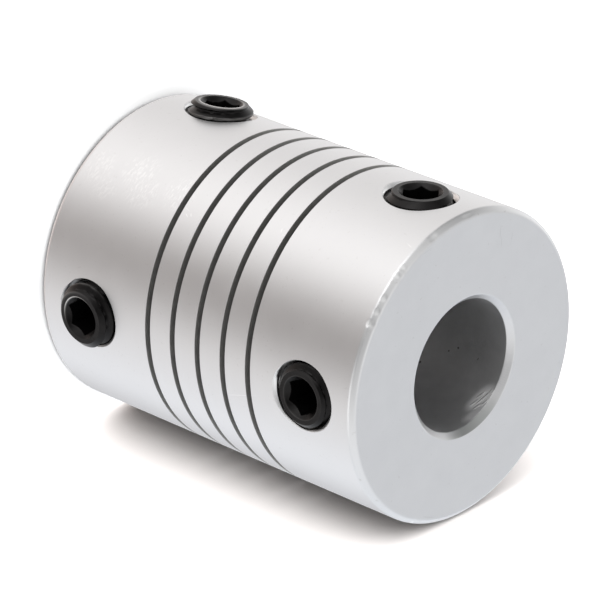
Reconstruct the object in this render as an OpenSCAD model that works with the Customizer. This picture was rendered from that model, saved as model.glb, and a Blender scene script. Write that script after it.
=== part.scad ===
// Flexible shaft coupling for two shafts in line. A turned cylinder has a bore
// in each end, and a helical slit sawn through its wall leaves a springy beam
// between the two ends. Two set screws in each end hold the shafts.
// The axis stands on Z, and the lower end face lies on z = 0.

/* [Body] */
// Outside diameter
body_diameter = 19; // [18:0.5:22]
// Length from end to end
body_length = 25; // [24:0.5:30]
// Chamfer on the outer rim of each end
rim_chamfer = 0.3; // [0.1:0.05:0.5]

/* [Bores] */
// Diameter of the bore in the upper end
upper_bore_diameter = 8; // [6:0.5:9]
// Diameter of the bore in the lower end
lower_bore_diameter = 5; // [4.5:0.5:5.5]
// Depth of the upper bore, down to its drill point
upper_bore_depth = 12; // [11:0.5:13]
// Angle of the drill point that leads into the lower bore
drill_point_angle = 118; // [90:1:140]
// Chamfer round the mouth of each bore
mouth_chamfer = 0.35; // [0.1:0.05:0.5]

/* [Helical slit] */
// Width of the slit, along the axis
slit_width = 0.4; // [0.3:0.05:0.5]
// Rise of the slit in one turn, as on a right-hand thread
slit_pitch = 2; // [1.8:0.1:2.2]
// Turns of the slit on the outside of the body
slit_turns = 5; // [3:0.5:5]
// Direction in which the middle of the slit faces
slit_middle_angle = -77; // [-180:1:180]
// Diameter of the saw blade, which rounds the slit's floor at both of its ends
saw_diameter = 30; // [24:1:60]
// Depth to which the saw goes past the wall of the lower bore
saw_overrun = 0.5; // [0.3:0.1:1]

/* [Set screws] */
// Outside diameter of the screw thread
thread_diameter = 4; // [3:0.5:4]
// Clearance between the screw and the hole, on the radius
thread_clearance = 0.05; // [0.03:0.01:0.1]
// Length of each screw
screw_length = 4; // [3.5:0.5:5]
// Width of the hexagon socket across its flats
socket_width = 2; // [1.5:0.1:2]
// Depth of the hexagon socket
socket_depth = 2; // [1.5:0.1:2]
// Diameter of the flat ring round the socket
screw_face_diameter = 3.2; // [3:0.1:3.6]
// Width of the chamfer that leads into the socket
socket_lead = 0.3; // [0.15:0.05:0.4]
// Diameter of the cup at the tip
cup_diameter = 2; // [1.4:0.1:2]
// Depth of the cup at the tip
cup_depth = 0.45; // [0.2:0.05:0.6]

/* [Screw places] */
// Distance of the upper screw holes from the upper end face
upper_hole_end_distance = 3.85; // [3.5:0.05:4.5]
// Distance of the lower screw holes from the lower end face
lower_hole_end_distance = 4; // [3.5:0.05:4.5]
// Depth of the countersink round each hole
countersink_depth = 0.3; // [0.1:0.05:0.4]
// Angle between the two upper screws
upper_screw_spread = 91; // [80:0.5:120]
// Angle between the two lower screws
lower_screw_spread = 101.5; // [80:0.5:120]
// Direction in which the first upper screw faces
upper_screw_turn = 1; // [0:0.5:10]
// Direction in which the first lower screw faces
lower_screw_turn = 3; // [0:0.5:10]
// How far the first upper screw stands out of the body
upper_first_standing = 0.1; // [0:0.05:1]
// How far the second upper screw stands out of the body
upper_second_standing = 0.2; // [0:0.05:1]
// How far the first lower screw stands out of the body
lower_first_standing = 0.65; // [0:0.05:1]
// How far the second lower screw stands out of the body
lower_second_standing = 0.55; // [0:0.05:1]
// Turn of the socket of the first upper screw
upper_first_socket_turn = 26; // [0:1:59]
// Turn of the socket of the second upper screw
upper_second_socket_turn = 10; // [0:1:59]
// Turn of the socket of the first lower screw
lower_first_socket_turn = 38; // [0:1:59]
// Turn of the socket of the second lower screw
lower_second_socket_turn = 3; // [0:1:59]

/* [Hidden] */
$fn = 96;

body_radius = body_diameter / 2;
upper_bore_radius = upper_bore_diameter / 2;
lower_bore_radius = lower_bore_diameter / 2;
upper_bore_floor = body_length - upper_bore_depth;
drill_point_height = (upper_bore_radius - lower_bore_radius) / tan(drill_point_angle / 2);
lower_bore_top = upper_bore_floor - drill_point_height;
past_surface = 1;

// Each place is the direction of the screw, the height of its hole, how far it
// stands out and how far its socket is turned.
upper_hole_height = body_length - upper_hole_end_distance;
lower_hole_height = lower_hole_end_distance;
upper_first = [
    upper_screw_turn,
    upper_hole_height,
    upper_first_standing,
    upper_first_socket_turn
];
upper_second = [
    upper_screw_turn - upper_screw_spread,
    upper_hole_height,
    upper_second_standing,
    upper_second_socket_turn
];
lower_first = [
    lower_screw_turn,
    lower_hole_height,
    lower_first_standing,
    lower_first_socket_turn
];
lower_second = [
    lower_screw_turn - lower_screw_spread,
    lower_hole_height,
    lower_second_standing,
    lower_second_socket_turn
];
screw_places = [upper_first, upper_second, lower_first, lower_second];

hole_radius = thread_diameter / 2;
screw_radius = hole_radius - thread_clearance;
screw_face_radius = screw_face_diameter / 2;
cup_radius = cup_diameter / 2;
socket_corner_radius = socket_width / 2 / cos(30);

// The saw blade is a disc. Its edge reaches the slit's floor, and where the cut
// starts and ends the floor follows that edge out to the surface.
saw_radius = saw_diameter / 2;
slit_floor_radius = lower_bore_radius - saw_overrun;
saw_centre_radius = slit_floor_radius + saw_radius;
slit_rim_radius = body_radius + past_surface;
run_out_angle = acos(
    (body_radius ^ 2 + saw_centre_radius ^ 2 - saw_radius ^ 2)
    / (2 * body_radius * saw_centre_radius)
);
slit_half_angle = slit_turns * 180;
full_depth_angle = slit_half_angle - run_out_angle;
steps_per_turn = 36;
slit_steps = slit_turns * steps_per_turn;
ring_corners = 4;

// Radius of the slit's floor, at an angle from the middle of the slit
function floor_at(angle) =
    let (past_full_depth = max(0, abs(angle) - full_depth_angle))
    saw_centre_radius * cos(past_full_depth)
        - sqrt(saw_radius ^ 2 - (saw_centre_radius * sin(past_full_depth)) ^ 2);

// The four corners of the slit's section, at an angle from its middle
function slit_section(angle) =
    let (
        direction = slit_middle_angle + angle,
        middle_height = body_length / 2 + slit_pitch * angle / 360,
        floor_radius = floor_at(angle)
    )
    [
        for (corner = [
            [floor_radius, -slit_width / 2],
            [slit_rim_radius, -slit_width / 2],
            [slit_rim_radius, slit_width / 2],
            [floor_radius, slit_width / 2]
        ])
        [
            corner[0] * cos(direction),
            corner[0] * sin(direction),
            middle_height + corner[1]
        ]
    ];

// Two triangles for each side of the slit between one section and the next
function slit_side_faces(step) =
    [
        for (corner = [0 : ring_corners - 1])
        let (
            here = step * ring_corners + corner,
            beside = step * ring_corners + (corner + 1) % ring_corners
        )
        each [
            [here, beside, beside + ring_corners],
            [here, beside + ring_corners, here + ring_corners]
        ]
    ];

// The cylinder as it is turned and bored, before the slit and the holes
module turned_blank() {
    rotate_extrude()
        polygon([
            [lower_bore_radius + mouth_chamfer, 0],
            [body_radius - rim_chamfer, 0],
            [body_radius, rim_chamfer],
            [body_radius, body_length - rim_chamfer],
            [body_radius - rim_chamfer, body_length],
            [upper_bore_radius + mouth_chamfer, body_length],
            [upper_bore_radius, body_length - mouth_chamfer],
            [upper_bore_radius, upper_bore_floor],
            [lower_bore_radius, lower_bore_top],
            [lower_bore_radius, mouth_chamfer]
        ]);
}

// The path of the saw: a flat ribbon wound round the axis
module slit_cut() {
    points = [
        for (step = [0 : slit_steps])
        each slit_section(slit_half_angle * (2 * step / slit_steps - 1))
    ];
    last = slit_steps * ring_corners;
    sides = [for (step = [0 : slit_steps - 1]) each slit_side_faces(step)];
    start_cap = [[2, 1, 0], [3, 2, 0]];
    end_cap = [[last, last + 1, last + 2], [last, last + 2, last + 3]];
    polyhedron(points = points, faces = concat(sides, start_cap, end_cap));
}

// Brings what stands on the axis, along Z, to a screw's place and direction
module at_place(place) {
    rotate([0, 0, place[0]])
        translate([0, 0, place[1]])
            rotate([0, 90, 0])
                children();
}

// A screw hole from the axis outwards, with its countersink
module screw_hole() {
    cylinder(r = hole_radius, h = body_radius + past_surface);
    translate([0, 0, body_radius - countersink_depth])
        cylinder(
            r1 = hole_radius,
            r2 = hole_radius + countersink_depth + past_surface,
            h = countersink_depth + past_surface
        );
}

// A set screw with its cup-shaped tip on z = 0 and its socket at the top
module set_screw() {
    difference() {
        rotate_extrude()
            polygon([
                [0, cup_depth],
                [cup_radius, 0],
                [screw_radius, screw_radius - cup_radius],
                [screw_radius, screw_length - screw_radius + screw_face_radius],
                [screw_face_radius, screw_length],
                [0, screw_length]
            ]);
        translate([0, 0, screw_length - socket_depth])
            cylinder(r = socket_corner_radius, h = socket_depth + past_surface, $fn = 6);
        translate([0, 0, screw_length - socket_lead])
            cylinder(
                r1 = socket_width / 2,
                r2 = socket_width / 2 + socket_lead + past_surface,
                h = socket_lead + past_surface
            );
    }
}

module placed_set_screw(place) {
    color("dimgray")
        at_place(place)
            translate([0, 0, body_radius + place[2] - screw_length])
                rotate([0, 0, place[3]])
                    set_screw();
}

module coupling_body() {
    color("gainsboro")
        difference() {
            turned_blank();
            slit_cut();
            for (place = screw_places) at_place(place) screw_hole();
        }
}

module upper_set_screw_first() {
    placed_set_screw(upper_first);
}

module upper_set_screw_second() {
    placed_set_screw(upper_second);
}

module lower_set_screw_first() {
    placed_set_screw(lower_first);
}

module lower_set_screw_second() {
    placed_set_screw(lower_second);
}

coupling_body();
upper_set_screw_first();
upper_set_screw_second();
lower_set_screw_first();
lower_set_screw_second();
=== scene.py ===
"""Dressed model of a beam-type flexible shaft coupling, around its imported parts.

The machined body and the four set screws are built again with their fine forms
and finishes. Sizes in the classes are in millimetres and degrees, and points go
to Blender in metres. The axis of the coupling is Z, and its lower end face lies
on z = 0. The photograph shows the coupling lying on its side, so its table is a
sheet that touches the side of the standing coupling, and the camera is turned to
match.
"""

import logging
import math
from dataclasses import dataclass
from enum import Enum

import bpy
import numpy as np
from mathutils import Matrix, Vector


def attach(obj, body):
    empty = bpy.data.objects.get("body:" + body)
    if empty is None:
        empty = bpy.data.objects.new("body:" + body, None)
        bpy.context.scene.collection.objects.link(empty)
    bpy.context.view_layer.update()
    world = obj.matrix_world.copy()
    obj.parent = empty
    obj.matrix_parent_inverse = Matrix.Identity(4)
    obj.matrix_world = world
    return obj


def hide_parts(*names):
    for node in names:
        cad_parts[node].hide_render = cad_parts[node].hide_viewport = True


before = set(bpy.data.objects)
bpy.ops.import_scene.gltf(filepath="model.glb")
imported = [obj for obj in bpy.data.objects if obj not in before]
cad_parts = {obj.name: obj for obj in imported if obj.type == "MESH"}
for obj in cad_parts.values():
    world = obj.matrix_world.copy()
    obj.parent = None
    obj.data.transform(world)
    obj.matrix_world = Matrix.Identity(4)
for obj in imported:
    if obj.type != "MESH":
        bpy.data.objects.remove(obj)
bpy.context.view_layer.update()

log = logging.getLogger("flexible_coupling")

MM = 0.001
# Bearing, about the axis, of the side that faces the camera
FRONT_BEARING = -30.3
# Bearing of what was up when the coupling lay on its side
OVERHEAD_BEARING = -88.0


class Zone(Enum):
    """The differently finished surfaces of the machined body."""

    SIDE = 0
    RIM = 1
    END_FACE = 2
    BORE = 3
    MOUTH = 4


def bearing_vector(bearing: float) -> np.ndarray:
    """Unit vector across the axis at a bearing.

    Args:
        bearing: Angle about Z from X, in degrees.

    Returns:
        The vector (cosine, sine, 0).
    """
    turn = math.radians(bearing)
    return np.array([math.cos(turn), math.sin(turn), 0.0])


# Shader maths


class Shade:
    """What a node puts out. Numbers take part in sums as Python's own do."""

    def __init__(
        self, recipe: "Recipe", socket: bpy.types.NodeSocket | None
    ) -> None:
        """Keeps the socket, if the node has one, and the recipe it belongs to."""
        self.recipe = recipe
        self.socket = socket

    def __add__(self, other: "Shade | float") -> "Shade":
        """This value plus another."""
        return self.recipe.sum_node("ADD", self, other)

    def __sub__(self, other: "Shade | float") -> "Shade":
        """This value less another."""
        return self.recipe.sum_node("SUBTRACT", self, other)

    def __mul__(self, other: "Shade | float") -> "Shade":
        """This value times another."""
        return self.recipe.sum_node("MULTIPLY", self, other)

    def __truediv__(self, other: "Shade | float") -> "Shade":
        """This value divided by another."""
        return self.recipe.sum_node("DIVIDE", self, other)

    def __pow__(self, other: "Shade | float") -> "Shade":
        """This value to a power."""
        return self.recipe.sum_node("POWER", self, other)

    def __rsub__(self, other: float) -> "Shade":
        """A number less this value."""
        return self.recipe.sum_node("SUBTRACT", other, self)

    def __rtruediv__(self, other: float) -> "Shade":
        """A number divided by this value."""
        return self.recipe.sum_node("DIVIDE", other, self)

    __radd__ = __add__
    __rmul__ = __mul__


class Recipe:
    """Builds the node tree of one material or of the world."""

    def __init__(self, tree: bpy.types.NodeTree) -> None:
        """Starts the tree afresh."""
        self.tree = tree
        tree.nodes.clear()

    def node(
        self,
        kind: str,
        settings: dict[str, object],
        inputs: dict[str | int, object],
        output: str | int = 0,
    ) -> Shade:
        """Adds one node, sets it up and feeds its sockets.

        Args:
            kind: Blender's name for the type of node.
            settings: The node's own settings, set before its sockets.
            inputs: A value or a Shade for each socket, by its name or place.
            output: The output that is passed on, by its name or place.

        Returns:
            The chosen output, empty for the node that ends a tree.
        """
        made = self.tree.nodes.new(kind)
        for name, value in settings.items():
            setattr(made, name, value)
        for name, value in inputs.items():
            if isinstance(value, Shade):
                self.tree.links.new(value.socket, made.inputs[name])
            else:
                made.inputs[name].default_value = value
        return Shade(self, made.outputs[output] if made.outputs else None)

    def sum_node(self, operation: str, *values: "Shade | float") -> Shade:
        """Adds a Math node.

        Args:
            operation: What the node does.
            values: The one, two or three values it does it to.

        Returns:
            The result.
        """
        return self.node(
            "ShaderNodeMath", {"operation": operation}, dict(enumerate(values))
        )

    def vector_sum(
        self, operation: str, *values: object, output: str | int = 0
    ) -> Shade:
        """Adds a Vector Math node.

        Args:
            operation: What the node does.
            values: The vectors it does it to.
            output: The output that is passed on, by its name or place.

        Returns:
            The result.
        """
        return self.node(
            "ShaderNodeVectorMath",
            {"operation": operation},
            dict(enumerate(values)),
            output,
        )

    def scaled(self, vector: Shade, factor: "Shade | float") -> Shade:
        """Scales a vector or a colour.

        Args:
            vector: The vector or colour.
            factor: What it is multiplied by.

        Returns:
            The product.
        """
        return self.node(
            "ShaderNodeVectorMath",
            {"operation": "SCALE"},
            {"Vector": vector, "Scale": factor},
        )

    def mixed(self, share: "Shade | float", first: object, second: object) -> Shade:
        """Mixes two colours.

        Args:
            share: How much of the second colour shows, from 0 to 1.
            first: The colour at 0.
            second: The colour at 1.

        Returns:
            The mixed colour.
        """
        return self.node(
            "ShaderNodeMix",
            {"data_type": "RGBA", "clamp_factor": True},
            {0: share, 6: first, 7: second},
            2,
        )

    def ramp(self, value: Shade, low: float, high: float) -> Shade:
        """Rises smoothly from 0 to 1 with a value.

        Args:
            value: The value.
            low: Where it gives 0.
            high: Where it gives 1, on either side of low.

        Returns:
            The smooth step.
        """
        return self.node(
            "ShaderNodeMapRange",
            {"interpolation_type": "SMOOTHSTEP"},
            {"Value": value, "From Min": low, "From Max": high},
        )

    def cloud(self, place: Shade, per_mm: float, detail: float = 2.0) -> Shade:
        """Fractal noise about 0.5.

        Args:
            place: The point, in millimetres.
            per_mm: Waves to a millimetre.
            detail: Number of finer layers on top of the first.

        Returns:
            The noise.
        """
        return self.node(
            "ShaderNodeTexNoise",
            {},
            {"Vector": place, "Scale": per_mm, "Detail": detail, "Roughness": 0.6},
            "Fac",
        )

    def larger(self, first: "Shade | float", second: "Shade | float") -> Shade:
        """The larger of two values."""
        return self.sum_node("MAXIMUM", first, second)


@dataclass
class SurfacePlace:
    """Where a point lies on the coupling, in millimetres, for a material."""

    recipe: Recipe

    def __post_init__(self) -> None:
        """Works out the point, its radius, and its place on the unrolled side."""
        recipe = self.recipe
        corner = recipe.node("ShaderNodeTexCoord", {}, {}, "Object")
        self.point = recipe.scaled(corner, 1 / MM)
        split = {"Vector": self.point}
        x, y, self.height = (
            recipe.node("ShaderNodeSeparateXYZ", {}, split, axis) for axis in "XYZ"
        )
        self.radius = (x * x + y * y) ** 0.5
        front = bearing_vector(FRONT_BEARING)
        forward = x * float(front[0]) + y * float(front[1])
        aside = y * float(front[0]) - x * float(front[1])
        self.turn = recipe.sum_node("ARCTAN2", aside, forward) * (180 / math.pi)
        flat = {"X": self.turn, "Z": 0.0}
        self.unrolled = recipe.node(
            "ShaderNodeCombineXYZ", {}, flat | {"Y": self.height}
        )
        self.end_face = recipe.node(
            "ShaderNodeCombineXYZ", {}, flat | {"Y": self.radius}
        )


@dataclass(frozen=True)
class Mark:
    """A small scratch, nick or scuff at a place on an unrolled wall or an end face.

    The turn is in degrees from the front. The height is the radius on an end face.
    Length and width are from the middle to the end, and the slope is the angle of
    its length to the way round. The core is the share of its size at full strength.
    """

    turn: float
    height: float
    length: float
    width: float
    slope: float
    strength: float = 1.0
    core: float = 0.35

    def cover(self, flat: Shade, radius: float) -> Shade:
        """How much of the mark is on a point: a smooth step of the distance from its
        middle, in half sizes, from 0 at 1 to its strength at the core.

        Args:
            flat: Turn and height of each point, or turn and radius on an end face.
            radius: Radius at which the mark lies.

        Returns:
            From 0 outside the mark to its strength in its middle.
        """
        recipe = flat.recipe
        around = math.radians(1.0) * radius
        level = recipe.vector_sum("MULTIPLY", flat, (around, 1.0, 1.0))
        inside = recipe.node(
            "ShaderNodeMapping",
            {"vector_type": "TEXTURE"},
            {
                "Vector": level,
                "Location": (self.turn * around, self.height, 0.0),
                "Rotation": (0.0, 0.0, math.radians(self.slope)),
                "Scale": (self.length, self.width, 1.0),
            },
        )
        distance = recipe.vector_sum("LENGTH", inside, output="Value")
        return recipe.ramp(distance, 1.0, self.core) * self.strength


SIDE_SCRATCHES = (
    Mark(40.5, 16.25, 1.9, 0.030, -72.0, 0.7),
    Mark(-21.0, 16.0, 0.20, 0.06, 20.0, 0.6),
    Mark(-13.9, 9.35, 0.22, 0.05, 60.0, 0.8),
    Mark(-14.5, 9.62, 0.16, 0.05, 35.0, 0.8),
    Mark(-16.0, 9.15, 0.30, 0.04, 75.0, 0.5),
    Mark(-33.0, 24.2, 0.35, 0.05, 70.0, 0.5),
    Mark(128.0, 14.2, 1.4, 0.025, 64.0, 0.5),
    Mark(164.0, 6.1, 0.9, 0.03, -35.0, 0.5),
    Mark(-140.0, 19.5, 1.1, 0.025, 22.0, 0.5),
)
SIDE_SCUFFS = (
    Mark(-19.0, 1.5, 1.5, 1.4, 0.0, 0.7),
    Mark(-12.5, 2.8, 1.0, 1.3, 0.0, 0.6),
    Mark(-23.0, 4.4, 1.6, 1.7, 0.0, 0.8),
    Mark(-16.0, 5.5, 1.4, 1.6, 0.0, 0.8),
    Mark(-20.0, 8.0, 1.5, 1.4, 0.0, 0.9),
    Mark(150.0, 11.0, 1.8, 1.2, 30.0, 0.7),
    Mark(-115.0, 8.0, 1.5, 1.0, -20.0, 0.7),
)
RIM_SCARS = (
    Mark(-58.6, 24.85, 0.60, 0.10, 0.0, 0.4),
    Mark(-40.6, 24.85, 0.50, 0.10, 0.0, 0.4),
    Mark(-24.4, 24.74, 0.34, 0.14, -8.0, 0.8),
    Mark(-20.8, 24.72, 0.36, 0.16, 5.0, 0.9),
    Mark(-11.8, 24.80, 0.30, 0.12, 0.0, 0.6),
    Mark(-6.6, 24.80, 0.28, 0.12, 0.0, 0.6),
    Mark(-2.0, 24.66, 0.30, 0.18, 0.0),
    Mark(96.0, 24.75, 0.30, 0.12, 0.0, 0.8),
    Mark(-104.0, 0.25, 0.34, 0.12, 0.0, 0.8),
)
# Rubbed, rougher patch of the bore wall, also painted lighter as a lit patch
BORE_RUB_AND_LIT_PATCH = (
    Mark(160.0, 24.15, 1.4, 0.75, 20.0),
    Mark(146.0, 24.45, 1.3, 0.5, 10.0, 0.6),
)
# Painted highlights: bright glint lines on the bore wall near its mouth
BORE_PAINTED_GLINTS = (
    Mark(153.0, 24.25, 0.42, 0.085, 26.0),
    Mark(156.0, 23.92, 0.50, 0.080, 24.0),
    Mark(158.0, 24.48, 0.34, 0.075, 18.0),
    Mark(160.0, 24.20, 0.55, 0.085, 22.0),
    Mark(163.0, 23.96, 0.38, 0.075, 30.0),
    Mark(166.5, 24.38, 0.48, 0.080, 20.0),
    Mark(170.0, 24.58, 0.32, 0.070, 24.0),
)
BORE_SPECKS = (
    Mark(-172.3, 20.57, 0.09, 0.08, 0.0),
    Mark(-167.1, 21.18, 0.10, 0.10, 0.0),
    Mark(170.1, 18.94, 0.12, 0.10, 0.0),
    Mark(-169.7, 22.76, 0.12, 0.05, 20.0, 0.7),
)
# Painted shade: grey patches that darken the chamfer at the bore's mouth
MOUTH_PAINTED_SHADE = (
    Mark(137.0, 24.82, 2.7, 0.7, 0.0),
    Mark(-60.0, 24.82, 1.5, 0.7, 0.0, 0.3),
)
FACE_RUBS = (
    Mark(-78.5, 8.0, 0.50, 0.06, 70.0, 0.7),
    Mark(-81.0, 7.5, 0.45, 0.05, 65.0, 0.7),
    Mark(-87.0, 7.9, 0.40, 0.05, 75.0, 0.6),
    Mark(-36.0, 9.0, 0.50, 0.05, 10.0, 0.5),
    Mark(103.0, 9.0, 0.60, 0.07, 5.0, 0.6),
)


def all_marks(marks: tuple[Mark, ...], flat: Shade, radius: float) -> Shade:
    """The strongest of several marks at each point.

    Args:
        marks: The marks.
        flat: Turn and height of each point, or turn and radius on an end face.
        radius: Radius at which the marks lie.

    Returns:
        Their cover, from 0 to 1.
    """
    cover = marks[0].cover(flat, radius)
    for mark in marks[1:]:
        cover = flat.recipe.larger(cover, mark.cover(flat, radius))
    return cover


# Finishes

WORN_BRIGHT = (0.97, 0.97, 0.97, 1)
DULL_SPECK = (0.62, 0.61, 0.60, 1)


@dataclass(frozen=True)
class Finish:
    """What every finish has: its name and how it becomes a material."""

    name: str = "finish"

    def paint(self, recipe: Recipe) -> dict[str, object]:
        """Returns the sockets of the shader, by name."""
        return {}

    def material(self) -> bpy.types.Material:
        """Makes the material, with a Principled shader that paint feeds.

        Returns:
            The material.
        """
        made = bpy.data.materials.new(self.name)
        made.use_nodes = True
        recipe = Recipe(made.node_tree)
        shader = recipe.node("ShaderNodeBsdfPrincipled", {}, self.paint(recipe))
        recipe.node("ShaderNodeOutputMaterial", {}, {"Surface": shader})
        return made


def raised(recipe: Recipe, height: Shade, strength: float = 1.0) -> Shade:
    """A normal bent by a height.

    Args:
        recipe: The material's recipe.
        height: Height of the surface's texture, in millimetres.
        strength: How much of the slope is kept.

    Returns:
        The bent normal.
    """
    return recipe.node(
        "ShaderNodeBump",
        {},
        {"Strength": strength, "Distance": MM, "Height": height},
        "Normal",
    )


@dataclass(frozen=True)
class SatinAluminium(Finish):
    """Tumbled aluminium on the side: a fine even satin with a few marks of use."""

    name: str = "satin_aluminium"
    colour: tuple[float, float, float] = (0.80, 0.80, 0.805)
    roughness: float = 0.37
    grain_height: float = 0.0007

    def paint(self, recipe: Recipe) -> dict[str, object]:
        """Grain, faint clouds, specks, scratches, scuffs and scars of the rim.

        Args:
            recipe: The recipe of the material.

        Returns:
            The sockets of the shader, by name.
        """
        place = SurfacePlace(recipe)
        grain = recipe.cloud(place.point, 7.0, 2.0)
        clouds = recipe.cloud(place.point, 0.55, 3.0)
        specks = recipe.ramp(recipe.cloud(place.point, 4.5, 1.0), 0.68, 0.76)
        stretched = recipe.vector_sum("MULTIPLY", place.point, (1.0, 1.0, 2.2))
        hairs = recipe.ramp(recipe.cloud(stretched, 3.2, 4.0), 0.47, 0.63)
        scuffs = hairs * all_marks(SIDE_SCUFFS, place.unrolled, BODY_RADIUS)
        scratches = all_marks(SIDE_SCRATCHES, place.unrolled, BODY_RADIUS)
        scars = all_marks(RIM_SCARS, place.unrolled, BODY_RADIUS)
        worn = recipe.larger(recipe.larger(scratches, scars), scuffs * 0.7)
        tint = recipe.mixed(clouds, (0.765, 0.765, 0.77, 1), (*self.colour, 1))
        tint = recipe.mixed(specks * 0.22, tint, DULL_SPECK)
        tint = recipe.mixed(worn * 0.9, tint, WORN_BRIGHT)
        height = grain * self.grain_height - scratches * 0.004 - scars * 0.012
        return {
            "Base Color": tint,
            "Metallic": 1.0,
            "Roughness": self.roughness + (clouds - 0.5) * 0.05 + worn * 0.12,
            "Normal": raised(recipe, height),
        }


@dataclass(frozen=True)
class BrightEdge(Finish):
    """Machined chamfer on the rims, with small dents and the scars of knocks."""

    name: str = "bright_edge"

    def paint(self, recipe: Recipe) -> dict[str, object]:
        """Fine lines round the chamfer, small dents and bright scars.

        Args:
            recipe: The recipe of the material.

        Returns:
            The sockets of the shader, by name.
        """
        place = SurfacePlace(recipe)
        dents = recipe.ramp(recipe.cloud(place.point, 2.2, 3.0), 0.60, 0.72)
        scars = all_marks(RIM_SCARS, place.unrolled, BODY_RADIUS)
        tint = recipe.mixed(dents * 0.5, (0.80, 0.80, 0.805, 1), (0.66, 0.65, 0.64, 1))
        tint = recipe.mixed(scars, tint, WORN_BRIGHT)
        lines = recipe.sum_node("SINE", (place.radius + place.height) * 70.0)
        return {
            "Base Color": tint,
            "Metallic": 1.0,
            "Roughness": 0.42 + dents * 0.15,
            "Normal": raised(recipe, lines * 0.0004 - dents * 0.002 - scars * 0.012),
        }


@dataclass(frozen=True)
class TurnedFace(Finish):
    """End face with the fine rings that a facing cut leaves, and a few rubs."""

    name: str = "turned_face"
    ring_spacing: float = 0.11
    rub_radius: float = 8.0

    def paint(self, recipe: Recipe) -> dict[str, object]:
        """Fine rings, clouds and specks, and dull rubs on the upper face alone.

        Args:
            recipe: The recipe of the material.

        Returns:
            The sockets of the shader, by name.
        """
        place = SurfacePlace(recipe)
        waver = recipe.cloud(place.point, 0.7, 2.0)
        rings = recipe.sum_node(
            "SINE", (place.radius + waver * 0.05) * (2 * math.pi / self.ring_spacing)
        )
        grain = recipe.cloud(place.point, 9.0, 2.0)
        specks = recipe.ramp(recipe.cloud(place.point, 3.6, 1.0), 0.70, 0.78)
        tint = recipe.mixed(waver, (0.76, 0.76, 0.77, 1), (0.805, 0.805, 0.815, 1))
        tint = recipe.mixed(specks * 0.3, tint, DULL_SPECK)
        upper = recipe.ramp(place.height, BODY_LENGTH / 2 - 0.5, BODY_LENGTH / 2 + 0.5)
        rubs = all_marks(FACE_RUBS, place.end_face, self.rub_radius) * upper
        tint = recipe.mixed(rubs * 0.35, tint, (0.55, 0.55, 0.54, 1))
        return {
            "Base Color": tint,
            "Metallic": 1.0,
            "Roughness": 0.40 + (waver - 0.5) * 0.06,
            "Normal": raised(recipe, rings * 0.00025 + grain * 0.0007),
        }


@dataclass(frozen=True)
class BoredWall(Finish):
    """Wall of the bore: duller, with the tool's lines, and near its mouth a rub painted
    lighter as a lit patch, with painted highlight glints.
    """

    name: str = "bored_wall"
    feed: float = 0.16

    def paint(self, recipe: Recipe) -> dict[str, object]:
        """Tool lines, clouds, a rub painted as a lit patch, painted glints and specks.

        Args:
            recipe: The recipe of the material.

        Returns:
            The sockets of the shader, by name.
        """
        place = SurfacePlace(recipe)
        clouds = recipe.cloud(place.point, 0.8, 3.0)
        lines = recipe.sum_node(
            "SINE", place.height * (2 * math.pi / self.feed) + clouds * 3.0
        )
        # Painted highlights: near white glint lines, and a rub also painted lighter as
        # a lit patch
        painted_glints = all_marks(BORE_PAINTED_GLINTS, place.unrolled, BORE_RADIUS)
        rubbed = all_marks(BORE_RUB_AND_LIT_PATCH, place.unrolled, BORE_RADIUS)
        specks = all_marks(BORE_SPECKS, place.unrolled, BORE_RADIUS)
        tint = recipe.mixed(clouds, (0.62, 0.62, 0.625, 1), (0.76, 0.76, 0.765, 1))
        # Painted light: the lit patch and the glints lighten the wall's colour
        bright = recipe.larger(rubbed, painted_glints)
        tint = recipe.mixed(bright, tint, (0.95, 0.95, 0.95, 1))
        tint = recipe.mixed(specks * 0.8, tint, (0.20, 0.20, 0.20, 1))
        return {
            "Base Color": tint,
            "Metallic": 1.0 - rubbed * 0.25 - painted_glints * 0.6,
            "Roughness": 0.50 + rubbed * 0.25 - painted_glints * 0.35,
            "Normal": raised(recipe, lines * 0.0006 + painted_glints * 0.08),
        }


@dataclass(frozen=True)
class BoreMouth(Finish):
    """Chamfer at the mouth of a bore, cut bright, with grey painted shade in patches.
    """

    name: str = "bore_mouth"

    def paint(self, recipe: Recipe) -> dict[str, object]:
        """Bright metal with fine chatter lines across the chamfer, and painted shade.

        Args:
            recipe: The recipe of the material.

        Returns:
            The sockets of the shader, by name.
        """
        place = SurfacePlace(recipe)
        clouds = recipe.cloud(place.point, 1.5, 3.0)
        tint = recipe.mixed(clouds, (0.70, 0.70, 0.71, 1), (0.80, 0.80, 0.805, 1))
        # Painted shade: the chamfer is darker grey in these patches
        mouth_shade = all_marks(MOUTH_PAINTED_SHADE, place.unrolled, BORE_RADIUS)
        mouth_shade_share = mouth_shade * (clouds * 0.5 + 0.75)
        tint = recipe.mixed(mouth_shade_share, tint, (0.44, 0.45, 0.445, 1))
        chatter = recipe.sum_node("SINE", place.turn * 3.0)
        return {
            "Base Color": tint,
            "Metallic": 1.0,
            "Roughness": 0.40 + (clouds - 0.5) * 0.1,
            "Normal": raised(recipe, chatter * 0.0006 + clouds * 0.002),
        }


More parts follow.
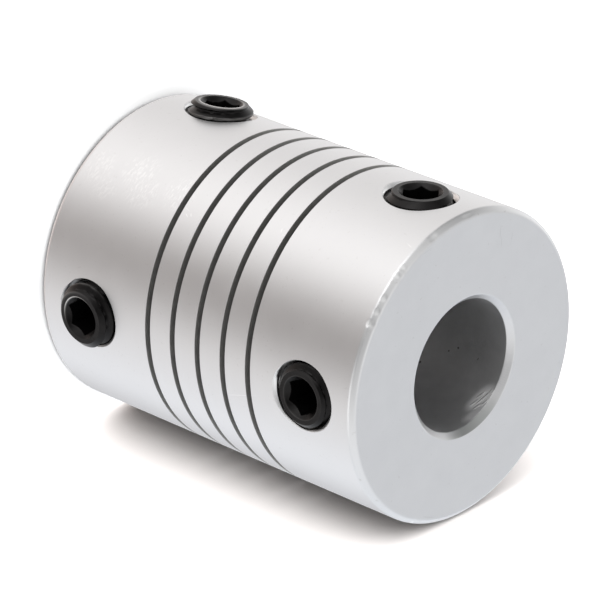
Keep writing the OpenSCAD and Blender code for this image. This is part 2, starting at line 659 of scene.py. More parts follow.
@dataclass(frozen=True)
class SawnSlit(Finish):
    """Walls of the helical slit, sawn and grey with fine arcs."""

    name: str = "sawn_slit"

    def paint(self, recipe: Recipe) -> dict[str, object]:
        """Dull metal with saw lines, and painted shade darker towards the bore.

        Args:
            recipe: The recipe of the material.

        Returns:
            The sockets of the shader, by name.
        """
        place = SurfacePlace(recipe)
        clouds = recipe.cloud(place.point, 1.2, 3.0)
        # Painted shade: the walls are darker deeper in the slit, towards the bore
        depth = recipe.ramp(place.radius, 9.4, 7.5)
        tint = recipe.mixed(clouds, (0.66, 0.655, 0.64, 1), (0.76, 0.76, 0.75, 1))
        tint = recipe.mixed(depth * 0.6, tint, (0.45, 0.44, 0.43, 1))
        lines = recipe.sum_node("SINE", place.radius * 60.0 + clouds * 4.0)
        return {
            "Base Color": tint,
            "Metallic": 1.0,
            "Roughness": 0.5,
            "Normal": raised(recipe, lines * 0.0006),
        }


@dataclass(frozen=True)
class TappedHole(Finish):
    """Thread and countersink of a screw hole, with painted shade in the thread and a
    painted highlight on the countersink, brightest on its broken edge.
    """

    name: str = "tapped_hole"

    def paint(self, recipe: Recipe) -> dict[str, object]:
        """Cut metal, with painted shade grey inside the thread and a painted highlight
        bright towards the outside.

        Args:
            recipe: The recipe of the material.

        Returns:
            The sockets of the shader, by name.
        """
        place = SurfacePlace(recipe)
        clouds = recipe.cloud(place.point, 2.5, 3.0)
        # Painted shade keeps the thread grey; a painted highlight makes the countersink
        # and its broken edge near white
        outside = recipe.ramp(place.radius, 8.9, 9.25)
        edge = recipe.ramp(place.radius, 9.40, 9.46)
        tint = recipe.mixed(clouds, (0.36, 0.35, 0.34, 1), (0.48, 0.47, 0.46, 1))
        tint = recipe.mixed(outside, tint, (0.95, 0.95, 0.95, 1))
        tint = recipe.mixed(edge, tint, (0.98, 0.98, 0.98, 1))
        return {
            "Base Color": tint,
            "Metallic": 1.0 - edge * 0.7,
            "Roughness": 0.36,
            "Normal": raised(recipe, clouds * 0.002),
        }


@dataclass(frozen=True)
class BlackOxide(Finish):
    """Blackened steel of the set screws, rubbed bright along its edges."""

    name: str = "black_oxide"

    def paint(self, recipe: Recipe) -> dict[str, object]:
        """Brown-black skin with clouds, and steel where the wear attribute says.

        Args:
            recipe: The recipe of the material.

        Returns:
            The sockets of the shader, by name.
        """
        place = SurfacePlace(recipe)
        wear = recipe.node(
            "ShaderNodeAttribute", {"attribute_name": "edge_wear"}, {}, "Fac"
        )
        clouds = recipe.cloud(place.point, 1.6, 4.0)
        grain = recipe.cloud(place.point, 9.0, 2.0)
        patchy = recipe.ramp(recipe.cloud(place.point, 0.8, 3.0), 0.28, 0.42)
        bright = wear * patchy
        skin = recipe.mixed(clouds, (0.010, 0.009, 0.009, 1), (0.026, 0.025, 0.025, 1))
        tint = recipe.mixed(bright, skin, (0.90, 0.88, 0.86, 1))
        return {
            "Base Color": tint,
            "Metallic": 0.85,
            "Roughness": 0.31 + (clouds - 0.5) * 0.25,
            "Normal": raised(recipe, grain * 0.0015 + clouds * 0.004),
        }


# Surfaces


def grid_faces(rows: int, columns: int, rows_close: bool) -> np.ndarray:
    """Four-sided faces of a grid whose columns close into rings.

    Args:
        rows: Number of rows.
        columns: Points in each row.
        rows_close: Whether the last row joins the first.

    Returns:
        Point numbers, four to a face, where point (i, j) has the number
        i times columns plus j.
    """
    steps = rows if rows_close else rows - 1
    i, j = np.meshgrid(np.arange(steps), np.arange(columns), indexing="ij")
    below = (i + 1) % rows
    beside = (j + 1) % columns
    corners = [
        i * columns + j,
        i * columns + beside,
        below * columns + beside,
        below * columns + j,
    ]
    return np.stack(corners, axis=-1).reshape(-1, 4)


def signed_volume(points: np.ndarray, faces: list[list[int]]) -> float:
    """Volume that the faces enclose, negative where they point inwards.

    The volume is the sum, over each face cut into triangles from its first
    corner, of the triple product of the three corners, divided by six.

    Args:
        points: The points, one to a row.
        faces: The point numbers of each face.

    Returns:
        The volume, in the cube of the points' unit.
    """
    total = 0.0
    for size in {len(face) for face in faces}:
        same = np.array([face for face in faces if len(face) == size])
        corners = points[same]
        for k in range(1, size - 1):
            cross = np.cross(corners[:, k], corners[:, k + 1])
            total += float(np.einsum("ij,ij->", corners[:, 0], cross)) / 6
    return total


def piece_from(
    name: str, points: np.ndarray, faces: list[list[int]]
) -> bpy.types.Object:
    """Makes an object at the origin from points in millimetres.

    Args:
        name: Name of the object and its mesh.
        points: The points, one to a row.
        faces: The point numbers of each face. All are turned over together where
            they would point inwards.

    Returns:
        The object, in the scene.
    """
    if signed_volume(points, faces) < 0:
        faces = [face[::-1] for face in faces]
    mesh = bpy.data.meshes.new(name)
    mesh.from_pydata((points * MM).tolist(), [], faces)
    mesh.update()
    made = bpy.data.objects.new(name, mesh)
    bpy.context.scene.collection.objects.link(made)
    return made


def closed_tube(name: str, rings: np.ndarray) -> bpy.types.Object:
    """Makes a piece from rings of points, with one flat face over each end.

    Args:
        name: Name of the object and its mesh.
        rings: The points in millimetres, by ring, place in the ring and axis.

    Returns:
        The object, in the scene.
    """
    rows, columns = rings.shape[:2]
    faces = grid_faces(rows, columns, False).tolist()
    last = (rows - 1) * columns
    faces.append(list(range(columns))[::-1])
    faces.append(list(range(last, last + columns)))
    return piece_from(name, rings.reshape(-1, 3), faces)


def smooth_between(piece: bpy.types.Object, sharp_from: float) -> None:
    """Shades a piece smoothly, except across its sharper edges.

    Args:
        piece: The piece.
        sharp_from: The smallest angle of an edge that stays sharp, in degrees.
    """
    mesh = piece.data
    mesh.polygons.foreach_set("use_smooth", np.ones(len(mesh.polygons), bool))
    mesh.set_sharp_from_angle(angle=math.radians(sharp_from))
    mesh.update()


def softened_profile(
    corners: np.ndarray, softness: np.ndarray, support: float, steps: int
) -> np.ndarray:
    """Rounds each corner of a closed profile.

    A corner P with unit directions a and b to its neighbours becomes the curve
    (1-t)^2 (P + s a) + 2t(1-t) P + t^2 (P + s b), with a support point a little
    further out on each side, which keeps the flats flat in smooth shading.

    Args:
        corners: The corners, one to a row.
        softness: The distance s for each corner.
        support: How much further out the support points are.
        steps: Number of steps along each curve.

    Returns:
        The points of all corners, steps + 3 for each.
    """
    back = np.roll(corners, 1, axis=0) - corners
    ahead = np.roll(corners, -1, axis=0) - corners
    back /= np.linalg.norm(back, axis=1, keepdims=True)
    ahead /= np.linalg.norm(ahead, axis=1, keepdims=True)
    s = softness[:, None, None]
    p = corners[:, None, :]
    start = p + s * back[:, None, :]
    end = p + s * ahead[:, None, :]
    t = np.linspace(0, 1, steps + 1)[None, :, None]
    curve = (1 - t) ** 2 * start + 2 * t * (1 - t) * p + t**2 * end
    before = start + support * back[:, None, :]
    after = end + support * ahead[:, None, :]
    return np.concatenate([before, curve, after], axis=1)


def triangle_wave(phase: np.ndarray, crest: float, root: float) -> np.ndarray:
    """A thread's section: 1 on its crest, 0 in its root and straight between.

    Args:
        phase: Place along the thread in turns, of which the fraction counts.
        crest: Share of the pitch that is flat on the crest.
        root: Share of the pitch that is flat in the root.

    Returns:
        The height at each place, from 0 to 1.
    """
    distance = np.abs(phase - np.floor(phase) - 0.5) * 2
    return np.clip((1 - crest - distance) / (1 - crest - root), 0, 1)


def bell(distance: np.ndarray, width: float) -> np.ndarray:
    """The exponential of minus the square of the distance in widths."""
    return np.exp(-((distance / width) ** 2))


# The machined body

BODY_RADIUS = 9.5
BODY_LENGTH = 25.0
BORE_RADIUS = 4.0


@dataclass(frozen=True)
class ScrewPlace:
    """Where a screw sits: its bearing, the height of its hole, how far it stands
    out of the body, the turn of its socket and where its thread starts, in turns.
    """

    bearing: float
    height: float
    standing: float
    socket_turn: float
    thread_start: float = 0.0

    def to_frame(self, points: np.ndarray) -> np.ndarray:
        """Turns points whose third number runs outwards from the axis into place.

        A point (a, b, c) goes to the height of the hole, plus c outwards along
        the bearing, b round the body and a downwards.

        Args:
            points: The points, in the last axis of the array.

        Returns:
            The same points in the frame of the coupling.
        """
        outward = bearing_vector(self.bearing)
        around = bearing_vector(self.bearing + 90)
        down = np.array([0.0, 0.0, -1.0])
        turned = (
            points[..., 0:1] * down
            + points[..., 1:2] * around
            + points[..., 2:3] * outward
        )
        return turned + np.array([0.0, 0.0, self.height])


@dataclass
class CouplingBody:
    """The one-piece body: turned, bored, sawn along a helix and tapped."""

    name: str = "sawn_beam_body"
    node: str = "coupling_body"
    body: str = "coupling"
    slot: str = "body"
    rim_chamfer: float = 0.3
    lower_bore_radius: float = 2.5
    upper_bore_floor: float = 13.0
    drill_point_angle: float = 118.0
    mouth_chamfer: float = 0.35
    slit_width: float = 0.4
    slit_pitch: float = 2.0
    slit_turns: float = 5.0
    slit_middle_angle: float = -77.0
    slit_edge_break: float = 0.012
    saw_radius: float = 15.0
    slit_floor_radius: float = 2.0
    hole_radius: float = 2.0
    countersink_depth: float = 0.3
    thread_pitch: float = 0.7
    thread_groove: float = 0.22
    thread_run_in: float = 0.5
    upper_hole_start: float = 3.2
    lower_hole_start: float = 1.1
    past_surface: float = 0.4
    edge_softness: float = 0.05
    rim_softness: float = 0.11
    floor_softness: float = 0.02
    edge_support: float = 0.06
    dent_depth: float = 0.035
    dent_spread: float = 0.22
    columns: int = 480
    edge_steps: int = 4
    slit_steps_per_turn: int = 120
    hole_columns: int = 108
    hole_rows_per_pitch: int = 10

    def blank_profile(self) -> tuple[np.ndarray, np.ndarray, list[Zone]]:
        """The section of the turned and bored blank.

        Returns:
            The corners as (radius, height), anticlockwise, the softness of each,
            and the zone of the wall that follows each.
        """
        rim = self.rim_chamfer
        mouth = self.mouth_chamfer
        guard = 4 * rim
        soft = self.edge_softness
        soft_rim = self.rim_softness
        soft_floor = self.floor_softness
        step = BORE_RADIUS - self.lower_bore_radius
        point = step / math.tan(math.radians(self.drill_point_angle / 2))
        inner = self.lower_bore_radius
        floor = self.upper_bore_floor
        corners = [
            (inner + mouth, 0.0, soft, Zone.END_FACE),
            (BODY_RADIUS - rim, 0.0, soft_rim, Zone.RIM),
            (BODY_RADIUS, rim, soft_rim, Zone.SIDE),
            (BODY_RADIUS, guard, soft, Zone.SIDE),
            (BODY_RADIUS, BODY_LENGTH - guard, soft, Zone.SIDE),
            (BODY_RADIUS, BODY_LENGTH - rim, soft_rim, Zone.RIM),
            (BODY_RADIUS - rim, BODY_LENGTH, soft_rim, Zone.END_FACE),
            (BORE_RADIUS + mouth, BODY_LENGTH, soft, Zone.MOUTH),
            (BORE_RADIUS, BODY_LENGTH - mouth, soft, Zone.BORE),
            (BORE_RADIUS, floor, soft_floor, Zone.BORE),
            (inner, floor - point, soft_floor, Zone.BORE),
            (inner, mouth, soft, Zone.MOUTH),
        ]
        table = np.array([corner[:3] for corner in corners])
        return table[:, :2], table[:, 2], [corner[3] for corner in corners]

    def rim_dents(self, points: np.ndarray) -> np.ndarray:
        """Presses the scars of the rims a little into the metal.

        Near a rim, a point moves inwards and towards the middle by the depth of
        the dent, times 1 less the square of its share of the dent's length, times
        a bell of its distance from the middle of the chamfer.

        Args:
            points: The points of the blank, in the last axis of the array.

        Returns:
            The points after their moves.
        """
        bearings = np.degrees(np.arctan2(points[..., 1], points[..., 0]))
        radii = np.linalg.norm(points[..., :2], axis=-1)
        half_rim = self.rim_chamfer / 2
        shift = np.zeros_like(points)
        for scar in RIM_SCARS:
            top = scar.height > BODY_LENGTH / 2
            level = BODY_LENGTH - half_rim if top else half_rim
            away = np.hypot(radii - BODY_RADIUS + half_rim, points[..., 2] - level)
            turn = bearings - FRONT_BEARING - scar.turn
            turn = (turn + 180) % 360 - 180
            share = np.radians(turn) * BODY_RADIUS / (scar.length * 0.6)
            hollow = np.clip(1 - share**2, 0, 1) * bell(away, self.dent_spread)
            depth = self.dent_depth * scar.strength * hollow
            inward = -points / np.maximum(radii, 1e-6)[..., None]
            inward[..., 2] = -1.0 if top else 1.0
            shift += inward * depth[..., None]
        return points + shift

    def blank(self) -> bpy.types.Object:
        """Turns the profile round the axis, in zones of material.

        Returns:
            The blank, with the number of each face's zone as its material's.
        """
        corners, softness, zones = self.blank_profile()
        rounded = softened_profile(
            corners, softness, self.edge_support, self.edge_steps
        )
        per_corner = rounded.shape[1]
        profile = rounded.reshape(-1, 2)
        turn = np.linspace(0, 2 * np.pi, self.columns, endpoint=False)
        radius = profile[:, 0:1]
        height = np.broadcast_to(profile[:, 1:2], (len(profile), self.columns))
        points = np.stack(
            [radius * np.cos(turn), radius * np.sin(turn), height], axis=-1
        )
        points = self.rim_dents(points)
        faces = grid_faces(len(profile), self.columns, True)
        made = piece_from(self.name, points.reshape(-1, 3), faces.tolist())
        walls = np.repeat([zone.value for zone in zones], per_corner)
        row_zone = np.roll(walls, per_corner // 2)
        made.data.polygons.foreach_set(
            "material_index", np.repeat(row_zone, self.columns).astype(np.int32)
        )
        return made

    def slit_cutter(self) -> bpy.types.Object:
        """The ribbon that the saw takes out, as rings of section points.

        Its middle rises by the pitch in each turn. Its floor is level, and over
        the last part at each end it follows the edge of the saw blade out to the
        surface: at an angle a past the full depth, the floor is at radius
        c cos a - sqrt(b^2 - (c sin a)^2), with c the distance of the saw's centre
        from the axis and b its radius. Its edges flare at 45 degrees where they
        meet the surface, which breaks the edges of the slit.

        Returns:
            The cutter.
        """
        centre = self.slit_floor_radius + self.saw_radius
        reach = (BODY_RADIUS**2 + centre**2 - self.saw_radius**2) / (
            2 * BODY_RADIUS * centre
        )
        run_out = math.acos(reach)
        half_turn = math.pi * self.slit_turns
        count = int(self.slit_turns * self.slit_steps_per_turn) + 1
        angle = np.linspace(-half_turn, half_turn, count)
        past = np.maximum(0, np.abs(angle) - (half_turn - run_out))
        floor = centre * np.cos(past) - np.sqrt(
            self.saw_radius**2 - (centre * np.sin(past)) ** 2
        )
        flare_from = BODY_RADIUS - self.slit_edge_break
        outside = np.full(count, BODY_RADIUS + self.past_surface)
        turn_in = np.maximum(flare_from, floor + 0.02)
        radii = np.stack([floor, turn_in, outside], axis=1)
        half_width = self.slit_width / 2 + np.maximum(0, radii - flare_from)
        radii = np.concatenate([radii, radii[:, ::-1]], axis=1)
        offset = np.concatenate([-half_width, half_width[:, ::-1]], axis=1)
        direction = np.radians(self.slit_middle_angle) + angle[:, None]
        middle = BODY_LENGTH / 2 + self.slit_pitch * angle[:, None] / (2 * np.pi)
        points = np.stack(
            [radii * np.cos(direction), radii * np.sin(direction), middle + offset],
            axis=-1,
        )
        return closed_tube("slit_cutter", points)

    def hole_cutter(self, place: ScrewPlace, from_axis: float) -> bpy.types.Object:
        """A tapped hole with its countersink, as rings along its own axis.

        The radius is the hole's, plus the groove of the thread, which winds with
        its pitch. From the countersink's floor outwards it is at least the
        hole's radius plus the distance from that floor, and the last turn of the
        groove reaches no more than 0.1 mm into the countersink.

        Args:
            place: The place of the screw.
            from_axis: How far from the axis of the coupling the hole starts.

        Returns:
            The cutter.
        """
        reach = BODY_RADIUS + 2 * self.past_surface
        pitches = (reach - from_axis) / self.thread_pitch
        along = np.linspace(from_axis, reach, int(pitches * self.hole_rows_per_pitch))
        floor = BODY_RADIUS - self.countersink_depth
        along = np.sort(np.append(along, [floor]))[:, None]
        turn = np.linspace(0, 2 * np.pi, self.hole_columns, endpoint=False)[None, :]
        phase = along / self.thread_pitch + turn / (2 * np.pi) + 0.5
        groove = self.thread_groove * triangle_wave(phase, 0.12, 0.25)
        start = np.clip((along - from_axis) / self.thread_run_in, 0, 1)
        thread = self.hole_radius + groove * start
        sink = self.hole_radius + np.maximum(0, along - floor)
        last_turn = np.minimum(thread, sink + 0.1)
        radius = np.where(along > floor, np.maximum(sink, last_turn), thread)
        points = np.stack(
            [
                radius * np.cos(turn),
                radius * np.sin(turn),
                np.broadcast_to(along, radius.shape),
            ],
            axis=-1,
        )
        return closed_tube("hole_cutter", place.to_frame(points))

    def cut(self, blank: bpy.types.Object, cutters: list[bpy.types.Object]) -> None:
        """Takes the cutters out of the blank, and keeps the result as its mesh.

        Args:
            blank: The turned blank.
            cutters: What is taken out, which then goes from the scene.
        """
        for cutter in cutters:
            step = blank.modifiers.new(cutter.name, "BOOLEAN")
            step.operation = "DIFFERENCE"
            step.solver = "MANIFOLD"
            step.material_mode = "TRANSFER"
            step.object = cutter
        context = bpy.context.evaluated_depsgraph_get()
        shaped = bpy.data.meshes.new_from_object(blank.evaluated_get(context))
        blank.modifiers.clear()
        rough = blank.data
        blank.data = shaped
        bpy.data.meshes.remove(rough)
        shaped.name = self.name
        for cutter in cutters:
            bpy.data.objects.remove(cutter)

    def build(self, places: list[ScrewPlace]) -> bpy.types.Object:
        """Turns the blank, cuts the slit and the holes, and dresses the body.

        Args:
            places: The places of the set screws.

        Returns:
            The finished body.
        """
        finishes = {
            Zone.SIDE: SatinAluminium(),
            Zone.RIM: BrightEdge(),
            Zone.END_FACE: TurnedFace(),
            Zone.BORE: BoredWall(),
            Zone.MOUTH: BoreMouth(),
        }
        made = self.blank()
        for zone in Zone:
            made.data.materials.append(finishes[zone].material())
        slit = self.slit_cutter()
        slit.data.materials.append(SawnSlit().material())
        tapped = TappedHole().material()
        cutters = [slit]
        for place in places:
            upper = place.height > BODY_LENGTH / 2
            start = self.upper_hole_start if upper else self.lower_hole_start
            cutter = self.hole_cutter(place, start)
            cutter.data.materials.append(tapped)
            cutters.append(cutter)
        self.cut(made, cutters)
        smooth_between(made, 30.0)
        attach(made, self.body)
        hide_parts(self.node)
        return made


# The set screws

# Radius of the small flat cap that closes the middle of the cup and of the socket
POLE_RADIUS = 0.02
# Rings of the end face, as shares of the way from the socket's mouth to the rim
FACE_STEPS = (1.0, 0.985, 0.96, 0.5, 0.2, 0.12, 0.06, 0.02, 0.0)
# Rings of the socket, as shares of the width of its lead and then of its depth
LEAD_STEPS = (0.08, 0.25, 0.5, 0.62, 0.75, 0.88, 1.0)
WALL_STEPS = (0.2, 0.45, 0.985, 1.0)

# Radius, distance from the tip and wear of each point, by ring and place in it
Rings = tuple[np.ndarray, np.ndarray, np.ndarray]


@dataclass(frozen=True)
class EdgeWear:
    """Where a screw's black skin is rubbed through, mostly at its socket's mouth.

    Strength 1 is bare steel at the mouth, from where it fades over the width. The
    crests near the face and the face's rim have a share of it. It fades round the
    screw from the angle that it faces, counted from the lower end, as a half
    cosine to the power of its focus.
    """

    strength: float
    towards: float = 0.0
    focus: float = 0.0
    width: float = 0.03
    crest_share: float = 0.12
    rim_share: float = 0.1


@dataclass
class SetScrew:
    """A hexagon-socket set screw with a cup tip, in its hole."""

    name: str
    node: str
    body: str
    place: ScrewPlace
    wear: EdgeWear
    slot: str = "screws"
    length: float = 4.0
    crest_radius: float = 1.95
    thread_depth: float = 0.32
    thread_pitch: float = 0.7
    face_radius: float = 1.6
    socket_width: float = 2.0
    socket_depth: float = 2.0
    socket_lead: float = 0.3
    drill_radius: float = 0.8
    drill_slope: float = 31.0
    cup_radius: float = 1.0
    cup_depth: float = 0.45
    columns: int = 120
    rows_per_pitch: int = 16

    def hexagon(self, turn: np.ndarray) -> np.ndarray:
        """Radius of the socket's hexagon.

        It is half the width, divided by the cosine of the angle from the middle
        of the nearest flat.

        Args:
            turn: The angles of the points in a ring.

        Returns:
            The radius at each angle.
        """
        sixth = np.pi / 3
        from_flat = (turn % sixth) - sixth / 2
        return self.socket_width / 2 / np.cos(from_flat)

    def cup(self, turn: np.ndarray) -> Rings:
        """The cone of the cup, from its middle out to the edge of the tip."""
        out = np.linspace(POLE_RADIUS / self.cup_radius, 1.0, 5)[:, None] + 0 * turn
        return out * self.cup_radius, (1 - out) * self.cup_depth, 0 * out

    def outside(self, turn: np.ndarray) -> Rings:
        """The thread, from the edge of the tip to the rim of the face.

        The radius is the crest's, less the thread's depth times 1 less its wave,
        but no more than the chamfer at either end allows.

        Args:
            turn: The angles of the points in a ring, as one row.

        Returns:
            The rings.
        """
        count = int(self.length / self.thread_pitch * self.rows_per_pitch)
        near_ends = [0.03, self.length - 0.06, self.length - 0.02]
        along = np.append(np.linspace(0, self.length, count)[1:-1], near_ends)
        along = np.sort(along)[:, None]
        from_face = self.length - along
        phase = along / self.thread_pitch - turn / (2 * np.pi) + self.place.thread_start
        depth = self.thread_depth * (1 - triangle_wave(phase, 0.15, 0.2))
        thread = self.crest_radius - depth
        chamfers = np.minimum(self.cup_radius + along, self.face_radius + from_face)
        radius = np.minimum(thread, chamfers)
        crest = np.where(radius < thread, 0, np.clip(1 - depth / 0.06, 0, 1))
        crest = crest * np.clip((2.0 - from_face) / 1.2, 0, 1) * self.wear.crest_share
        rim = bell(from_face, 0.035) * self.wear.rim_share
        return radius, np.broadcast_to(along, radius.shape), np.maximum(crest, rim)

    def face(self, turn: np.ndarray) -> Rings:
        """The flat face, from its rim in to the mouth of the socket.

        Args:
            turn: The angles of the points in a ring, as one row.

        Returns:
            The rings.
        """
        lead_radius = self.socket_width / 2 + self.socket_lead
        mouth = np.maximum(self.hexagon(turn), lead_radius)
        radius = mouth + np.array(FACE_STEPS)[:, None] * (self.face_radius - mouth)
        rim = bell(self.face_radius - radius, 0.03) * self.wear.rim_share
        wear = np.maximum(rim, bell(radius - mouth, self.wear.width))
        return radius, np.full_like(radius, self.length), wear

    def socket(self, turn: np.ndarray) -> Rings:
        """The socket: the hexagon, or the cone of its lead where that is wider.

        Args:
            turn: The angles of the points in a ring, as one row.

        Returns:
            The rings.
        """
        lead = self.socket_lead * np.array(LEAD_STEPS)
        walls = self.socket_depth * np.array(WALL_STEPS)
        down = np.concatenate([lead, walls])[:, None] + 0 * turn
        cone = self.socket_width / 2 + self.socket_lead - down
        radius = np.maximum(self.hexagon(turn), cone)
        return radius, self.length - down, bell(down, 0.02)

    def drilled_floor(self, turn: np.ndarray) -> Rings:
        """The floor of the socket, with the drill's point down to its middle.

        Args:
            turn: The angles of the points in a ring, as one row.

        Returns:
            The rings.
        """
        steps = [self.drill_radius, self.drill_radius / 2, POLE_RADIUS]
        radius = np.array(steps)[:, None] + 0 * turn
        point = (self.drill_radius - radius) * math.tan(math.radians(self.drill_slope))
        return radius, self.length - self.socket_depth - point, 0 * radius

    def rings(self, turn: np.ndarray) -> Rings:
        """The whole screw as rings, from the middle of its cup to its socket's.

        Args:
            turn: The angles of the points in a ring, as one row.

        Returns:
            The rings, with the wear that this screw has.
        """
        makers = (self.cup, self.outside, self.face, self.socket, self.drilled_floor)
        parts = zip(*(make(turn) for make in makers))
        radius, level, wear = (np.concatenate(part) for part in parts)
        side = turn + math.radians(self.place.socket_turn - self.wear.towards)
        facing = (0.5 + 0.5 * np.cos(side)) ** self.wear.focus
        return radius, level, wear * self.wear.strength * facing

    def build(self) -> bpy.types.Object:
        """Builds the screw in its place and dresses it.

        Returns:
            The finished screw.
        """
        turn = np.linspace(0, 2 * np.pi, self.columns, endpoint=False)[None, :]
        radius, level, wear = self.rings(turn)
        turn = turn + math.radians(self.place.socket_turn)
        tip = BODY_RADIUS + self.place.standing - self.length
        points = np.stack(
            [radius * np.cos(turn), radius * np.sin(turn), level + tip], axis=-1
        )
        made = closed_tube(self.name, self.place.to_frame(points))
        marked = made.data.attributes.new("edge_wear", "FLOAT", "POINT")
        marked.data.foreach_set("value", wear.reshape(-1).astype(np.float32))
        made.data.materials.append(BlackOxide().material())
        smooth_between(made, 32.0)
        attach(made, self.body)
        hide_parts(self.node)
        return made


# The studio


class Tint(Enum):
    """The colours of the studio's glows."""

    WHITE = (1.0, 1.0, 1.0)
    WARM = (1.15, 1.0, 0.93)
    COOL = (0.96, 1.0, 1.05)


@dataclass(frozen=True)
class Glow:
    """A soft patch of light, far off, at a bearing about the coupling's axis.

    The bearing is in degrees from the camera's side, over the top, and the lean is
    its angle towards the upper end. Strength falls as the exponential of the
    tightness times the cosine of the angle from its middle, less 1.
    """

    bearing: float
    lean: float
    strength: float
    tint: Tint = Tint.WHITE
    tightness: float = 12.0

    def direction(self) -> np.ndarray:
        """Works out where the glow is.

        Returns:
            The unit vector towards its middle.
        """
        bearing = math.radians(self.bearing)
        lean = math.radians(self.lean)
        up = bearing_vector(OVERHEAD_BEARING)
        side = bearing_vector(OVERHEAD_BEARING + 90)
        across = math.cos(bearing) * side + math.sin(bearing) * up
        return math.cos(lean) * across + np.array([0.0, 0.0, math.sin(lean)])


GLOWS = (
    Glow(60.0, 0.0, 1.42),
    Glow(75.0, 0.0, 0.92),
    Glow(165.0, 0.0, 0.60),
    Glow(180.0, 0.0, 0.43),
    Glow(195.0, 0.0, 0.20),
    Glow(210.0, 0.0, 0.39, Tint.COOL),
    Glow(225.0, 0.0, 0.41, Tint.COOL),
    Glow(240.0, 0.0, 0.35, Tint.COOL),
    Glow(255.0, 0.0, 0.38, Tint.COOL),
    Glow(285.0, 0.0, 0.42, Tint.COOL),
    Glow(300.0, 0.0, 0.31, Tint.COOL),
    Glow(345.0, 0.0, 1.42),
    Glow(60.0, -35.0, 0.55),
    Glow(90.0, -35.0, 0.57),
    Glow(120.0, -35.0, 0.53),
    Glow(150.0, -35.0, 0.36),
    Glow(180.0, -35.0, 0.56),
    Glow(210.0, -35.0, 0.33, Tint.COOL),
    Glow(270.0, -35.0, 0.70, Tint.COOL),
    Glow(300.0, -35.0, 0.41, Tint.COOL),
    Glow(330.0, -35.0, 0.49),
    Glow(180.0, 35.0, 0.40, Tint.WHITE, 8.0),
    Glow(225.0, 35.0, 0.29, Tint.COOL, 8.0),
    Glow(270.0, 35.0, 0.50, Tint.COOL, 8.0),
    Glow(315.0, 35.0, 0.72, Tint.WHITE, 8.0),
    Glow(95.0, 42.0, 0.62, Tint.WHITE, 8.0),
    Glow(0.0, 90.0, 0.90, Tint.WHITE, 5.0),
    Glow(0.0, -90.0, 0.95, Tint.WARM, 5.0),
)


@dataclass
class StudioLight:
    """The soft light of a white studio, made of glows on every side."""

    glows: tuple[Glow, ...] = GLOWS

    def build(self) -> None:
        """Paints the world with the glows, white to the camera and through glass.

        Light that would reach a sheet by way of the shining metal is left out: it
        comes from below the table, which a real table would have held back. Such a
        ray has a diffuse bounce behind it, and isn't a diffuse ray itself.
        """
        world = bpy.data.worlds.new("studio")
        bpy.context.scene.world = world
        world.use_nodes = True
        recipe = Recipe(world.node_tree)
        direction = recipe.node("ShaderNodeTexCoord", {}, {}, "Generated")
        totals = {}
        for glow in self.glows:
            middle = tuple(glow.direction())
            cosine = recipe.vector_sum("DOT_PRODUCT", direction, middle, output="Value")
            fall = recipe.sum_node("EXPONENT", (cosine - 1.0) * glow.tightness)
            patch = fall * glow.strength
            totals[glow.tint] = patch + totals.get(glow.tint, 0.0)
        light = (0.0, 0.0, 0.0)
        for tint, total in totals.items():
            colour = recipe.scaled(tint.value, total)
            light = recipe.vector_sum("ADD", light, colour)
        path = "ShaderNodeLightPath"
        soft = recipe.node(path, {}, {}, "Diffuse Depth")
        straight = recipe.node(path, {}, {}, "Is Diffuse Ray")
        by_metal = recipe.ramp(soft, 0.4, 0.6) * (1.0 - straight)
        light = recipe.scaled(light, 1.0 - by_metal)
        seen = recipe.node(path, {}, {}, "Is Camera Ray")
        through = recipe.node(path, {}, {}, "Is Transmission Ray")
        shown = recipe.mixed(recipe.larger(seen, through), light, (1, 1, 1, 1))
        shader = recipe.node(
            "ShaderNodeBackground", {}, {"Color": shown, "Strength": 1.0}
        )
        recipe.node("ShaderNodeOutputWorld", {}, {"Surface": shader})


@dataclass
class StudioSheet:
    """A white sheet under or behind the coupling, seen from its front alone."""

    name: str
    touch: np.ndarray
    normal: np.ndarray
    white: tuple[float, float, float]
    reach: float = 900.0

    def build(self) -> bpy.types.Object:
        """Lays the sheet and paints it, so that it keeps the coupling's shadow.

        Returns:
            The sheet.
        """
        normal = self.normal / np.linalg.norm(self.normal)
        steep = abs(normal[2]) < 0.9
        helper = (0.0, 0.0, 1.0) if steep else (1.0, 0.0, 0.0)
        first = np.cross(helper, normal)
        first /= np.linalg.norm(first)
        second = np.cross(normal, first)
        corners = np.array([[-1, -1], [1, -1], [1, 1], [-1, 1]]) * self.reach
        points = self.touch + corners[:, 0:1] * first + corners[:, 1:2] * second
        mesh = bpy.data.meshes.new(self.name)
        mesh.from_pydata((points * MM).tolist(), [], [[0, 1, 2, 3]])
        made = bpy.data.objects.new(self.name, mesh)
        bpy.context.scene.collection.objects.link(made)
        paint = bpy.data.materials.new(self.name)
        paint.use_nodes = True
        recipe = Recipe(paint.node_tree)
        front = recipe.node("ShaderNodeBsdfDiffuse", {}, {"Color": (*self.white, 1.0)})
        clear = recipe.node("ShaderNodeBsdfTransparent", {}, {})
        behind = recipe.node("ShaderNodeNewGeometry", {}, {}, "Backfacing")
        both = recipe.node("ShaderNodeMixShader", {}, {0: behind, 1: front, 2: clear})
        recipe.node("ShaderNodeOutputMaterial", {}, {"Surface": both})
        mesh.materials.append(paint)
        made.visible_diffuse = False
        made.visible_glossy = False
        made.visible_transmission = False
        made.visible_shadow = False
        return made


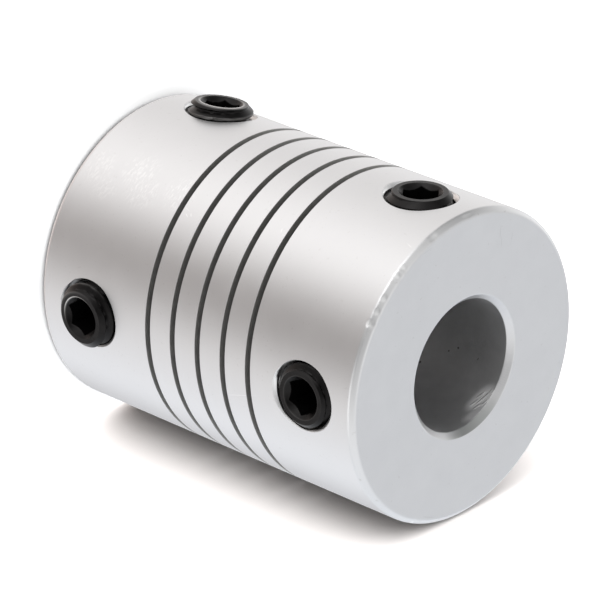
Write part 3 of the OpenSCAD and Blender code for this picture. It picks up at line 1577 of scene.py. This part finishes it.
@dataclass
class PhotographCamera:
    """The camera at the photograph's place, turned as it saw the lying coupling."""

    bearing: float = -30.428
    elevation: float = 38.492
    distance: float = 258.0
    aim: tuple[float, float, float] = (0.086, -0.179, 12.161)
    roll: float = -111.575
    lens: float = 263.66

    def build(self) -> bpy.types.Object:
        """Sets up the camera.

        Its back points along its bearing and elevation. Its level upright is turned
        about the line of sight by the roll, clockwise as the picture is seen.

        Returns:
            The camera.
        """
        flat = bearing_vector(self.bearing) * math.cos(math.radians(self.elevation))
        back = flat + np.array([0.0, 0.0, math.sin(math.radians(self.elevation))])
        level = np.array([0.0, 0.0, 1.0]) - back[2] * back
        level /= np.linalg.norm(level)
        right = np.cross(level, back)
        roll = math.radians(self.roll)
        upright = math.cos(roll) * level + math.sin(roll) * right
        right = np.cross(upright, back)
        place = np.array(self.aim) + self.distance * back
        camera = bpy.data.cameras.new("camera")
        camera.sensor_width = 36.0
        camera.lens = self.lens
        camera.clip_start = 0.01
        camera.clip_end = 10.0
        made = bpy.data.objects.new("camera", camera)
        bpy.context.scene.collection.objects.link(made)
        axes = Matrix([right, upright, back]).transposed().to_4x4()
        made.matrix_world = Matrix.Translation(Vector(place * MM)) @ axes
        bpy.context.scene.camera = made
        return made


def main() -> None:
    """Builds the coupling, its screws, the stage, the light and the camera."""
    logging.basicConfig(level=logging.INFO, format="%(name)s: %(message)s")
    view = bpy.context.scene.view_settings
    view.view_transform = "Standard"

    screws = [
        SetScrew(
            "upper_front_screw",
            "upper_set_screw_first",
            "upper_screw_first",
            ScrewPlace(1.0, 21.15, 0.1, 26.0, 0.2),
            EdgeWear(0.04),
        ),
        SetScrew(
            "upper_top_screw",
            "upper_set_screw_second",
            "upper_screw_second",
            ScrewPlace(-90.0, 21.15, 0.2, 10.0, 0.6),
            EdgeWear(0.04),
        ),
        SetScrew(
            "lower_front_screw",
            "lower_set_screw_first",
            "lower_screw_first",
            ScrewPlace(3.0, 4.0, 0.65, 38.0, 0.4),
            EdgeWear(1.0, towards=-52.0, focus=6.0),
        ),
        SetScrew(
            "lower_top_screw",
            "lower_set_screw_second",
            "lower_screw_second",
            ScrewPlace(-98.5, 4.0, 0.55, 3.0, 0.0),
            EdgeWear(1.3, towards=130.0, focus=1.5, width=0.08),
        ),
    ]
    body = CouplingBody().build([screw.place for screw in screws])
    log.info("%s has %d faces", body.name, len(body.data.polygons))
    for screw in screws:
        piece = screw.build()
        log.info("%s has %d faces", piece.name, len(piece.data.polygons))

    table = StudioSheet(
        "photograph_table",
        BODY_RADIUS * bearing_vector(OVERHEAD_BEARING + 180),
        bearing_vector(OVERHEAD_BEARING),
        (2.80, 2.71, 2.68),
    )
    floor = StudioSheet(
        "studio_floor",
        np.zeros(3),
        np.array([0.0, 0.0, 1.0]),
        (2.65, 2.65, 2.65),
    )
    for sheet in (table, floor):
        log.info("%s is laid", sheet.build().name)
    StudioLight().build()
    camera = PhotographCamera().build()
    log.info("%s is at %s", camera.name, tuple(camera.location))


if __name__ == "__main__":
    main()
